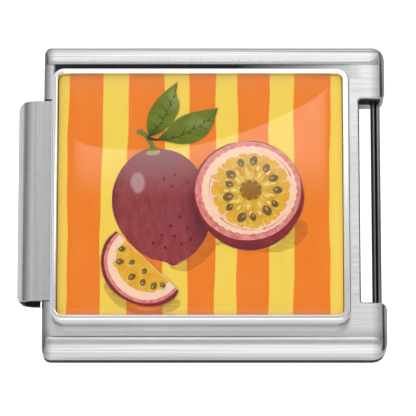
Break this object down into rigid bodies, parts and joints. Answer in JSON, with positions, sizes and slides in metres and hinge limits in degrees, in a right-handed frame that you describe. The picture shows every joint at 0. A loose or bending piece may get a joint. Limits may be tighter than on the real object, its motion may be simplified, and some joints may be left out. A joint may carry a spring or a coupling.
{
  "type": "modular charm bracelet link",
  "caption": "Flat steel link of a modular charm bracelet, with a framed picture under clear resin, a sprung sliding hook on one end and a catch bar on the other.",
  "frame": {"origin": "centre of the overall box, on the back cover's flat back, which the link lies on", "axes": "+Z out of the picture face; +X along the bracelet from the hook to the catch bar; +Y across the bracelet, towards the top of the picture"},
  "size_m": [0.0104, 0.009, 0.0026],
  "materials": {
    "polished_steel": "polished stainless steel with faint brushing",
    "satin_steel": "satin stainless steel",
    "spring_steel": "cold-rolled spring steel",
    "printed_picture": "printed film",
    "clear_resin": "clear poured resin"
  },
  "bodies": {
    "link_body": {"front_shell": "polished_steel", "back_cover": "satin_steel", "catch_bar": "satin_steel", "spring_stop": "spring_steel", "leaf_spring": "spring_steel", "lower_rivet": "satin_steel", "upper_rivet": "satin_steel", "picture_frame": "polished_steel", "picture_panel": "printed_picture", "resin_cover": "clear_resin"},
    "hook": {"hook_plate": "satin_steel"}
  },
  "joints": [
    {"name": "hook_slide", "type": "slide", "parent": "link_body", "child": "hook", "axis": [-1, 0, 0], "range_m": [0, 0.0009], "stiffness_N_per_m": 1500, "springref_m": -0.0003, "deforming": ["leaf_spring"]}
  ]
}
